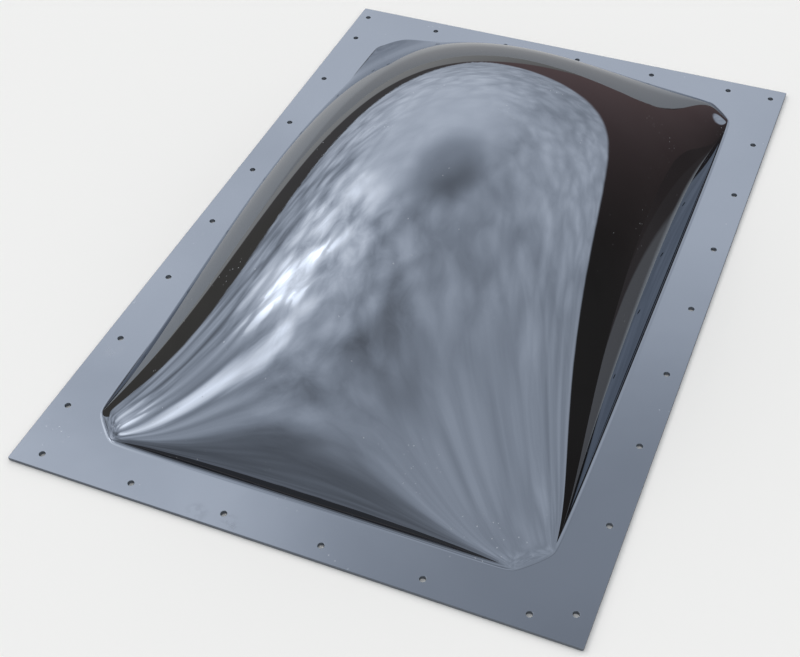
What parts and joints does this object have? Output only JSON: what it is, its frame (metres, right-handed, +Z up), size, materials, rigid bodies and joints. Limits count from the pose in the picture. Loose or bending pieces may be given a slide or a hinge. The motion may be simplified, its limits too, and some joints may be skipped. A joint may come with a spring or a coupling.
{
  "type": "roof skylight dome",
  "caption": "Smoke-tinted, high-gloss plastic roof skylight: a blown rectangular dome with clipped corners rising from a flat screw-down flange of the same sheet.",
  "frame": {"origin": "centre of the flange's underside, which lies on the roof", "axes": "+Z up and away from the roof, +Y along the skylight's length, +X across it"},
  "size_m": [0.4444, 0.6478, 0.1424],
  "materials": {
    "smoke_sheet": "smoke-tinted plastic sheet, near-black in the mass, mirror gloss"
  },
  "bodies": {
    "root": {"skylight_dome": "smoke_sheet"}
  },
  "joints": []
}
